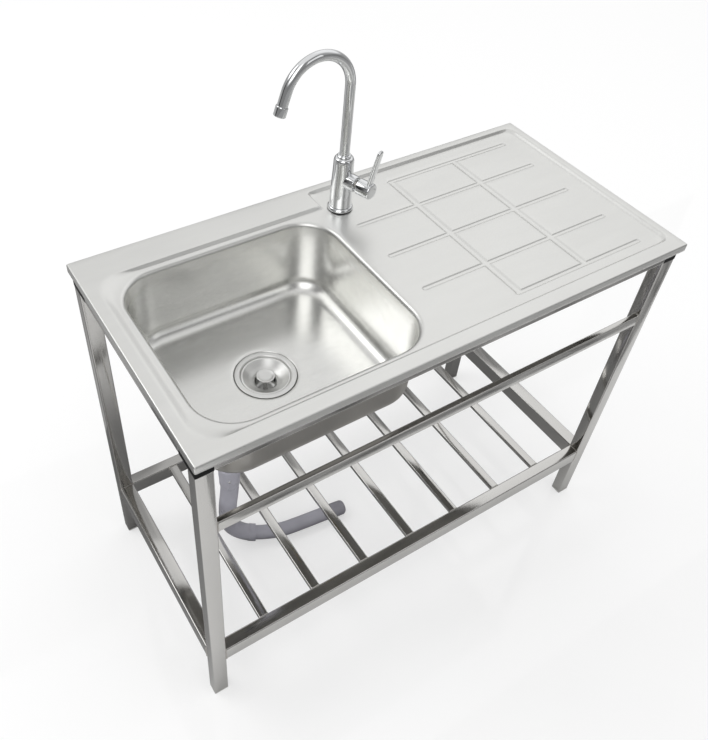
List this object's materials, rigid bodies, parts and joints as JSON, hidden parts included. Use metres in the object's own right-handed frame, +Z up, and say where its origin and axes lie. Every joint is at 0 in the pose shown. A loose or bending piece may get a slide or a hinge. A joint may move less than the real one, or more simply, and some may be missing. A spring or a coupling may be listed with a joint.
{
  "type": "free-standing kitchen sink unit",
  "caption": "Free-standing stainless steel sink unit with a pressed bowl, grooved drainer, swivelling gooseneck mixer tap, lift-out basket strainer, drain hose and slatted lower shelf.",
  "frame": {"origin": "on the floor, under the centre of the pressed top", "axes": "+X to the right along the top's length, +Y to the back, +Z up"},
  "size_m": [1, 0.485, 1.1017],
  "materials": {
    "pressed_steel": "satin pressed stainless sheet",
    "frame_steel": "polished stainless tube",
    "connector_plastic": "moulded, satin",
    "foot_plastic": "moulded, satin",
    "strainer_steel": "polished",
    "seal_rubber": "matt",
    "lock_nut_plastic": "moulded, satin",
    "hose_plastic": "smooth, slight sheen",
    "fitting_plastic": "moulded, satin",
    "tap_chrome": "mirror chrome",
    "tap_brass": "machined",
    "tap_insert": "moulded, satin"
  },
  "bodies": {
    "unit": {"sink_top": "pressed_steel", "leg_front_left": "frame_steel", "leg_front_right": "frame_steel", "leg_back_left": "frame_steel", "leg_back_right": "frame_steel", "top_rail_front": "frame_steel", "top_rail_back": "frame_steel", "top_rail_left": "frame_steel", "top_rail_right": "frame_steel", "middle_rail_front": "frame_steel", "shelf_rail_front": "frame_steel", "shelf_rail_back": "frame_steel", "shelf_rail_left": "frame_steel", "shelf_rail_right": "frame_steel", "shelf_slat_1": "frame_steel", "shelf_slat_2": "frame_steel", "shelf_slat_3": "frame_steel", "shelf_slat_4": "frame_steel", "shelf_slat_5": "frame_steel", "shelf_slat_6": "frame_steel", "shelf_slat_7": "frame_steel", "corner_connector_front_left": "connector_plastic", "corner_connector_front_right": "connector_plastic", "corner_connector_back_left": "connector_plastic", "corner_connector_back_right": "connector_plastic", "foot_plug_front_left": "foot_plastic", "foot_plug_front_right": "foot_plastic", "foot_plug_back_left": "foot_plastic", "foot_plug_back_right": "foot_plastic", "strainer_body": "strainer_steel", "strainer_gasket_upper": "seal_rubber", "strainer_gasket_lower": "seal_rubber", "tap_base_seal": "seal_rubber", "tap_washer": "seal_rubber", "strainer_lock_nut": "lock_nut_plastic", "drain_hose_drop": "hose_plastic", "drain_hose_run": "hose_plastic", "hose_elbow": "hose_plastic", "hose_nut": "fitting_plastic", "hose_coupling": "fitting_plastic", "hose_end_sleeve": "fitting_plastic", "tap_base_ring": "tap_chrome", "tap_body": "tap_chrome", "cartridge_ring": "tap_chrome", "tap_shank": "tap_brass", "tap_lock_nut": "tap_brass", "mixer_cartridge": "tap_insert"},
    "spout": {"spout_pipe": "tap_chrome", "spout_collar": "tap_chrome", "aerator_housing": "tap_chrome", "aerator_insert": "tap_insert"},
    "handle_stem": {"cartridge_stem": "tap_brass"},
    "handle": {"handle_hub": "tap_chrome", "lever_blade": "tap_chrome"},
    "basket": {"strainer_basket": "strainer_steel", "basket_knob": "strainer_steel", "basket_seal": "seal_rubber"}
  },
  "joints": [
    {"name": "spout_swivel", "type": "hinge", "parent": "unit", "child": "spout", "pos_m": [0.003, 0.165, 0.89], "axis": [0, 0, 1], "continuous": true},
    {"name": "lever_turn", "type": "hinge", "parent": "unit", "child": "handle_stem", "pos_m": [0.0166, 0.12315, 0.845], "axis": [0.309, -0.9511, 0], "range_deg": [-45, 45]},
    {"name": "lever_lift", "type": "hinge", "parent": "handle_stem", "child": "handle", "pos_m": [0.0166, 0.12315, 0.845], "axis": [0.9511, 0.309, 0], "range_deg": [0, 15]},
    {"name": "basket_lift", "type": "slide", "parent": "unit", "child": "basket", "axis": [0, 0, 1], "range_m": [0, 0.05]}
  ]
}
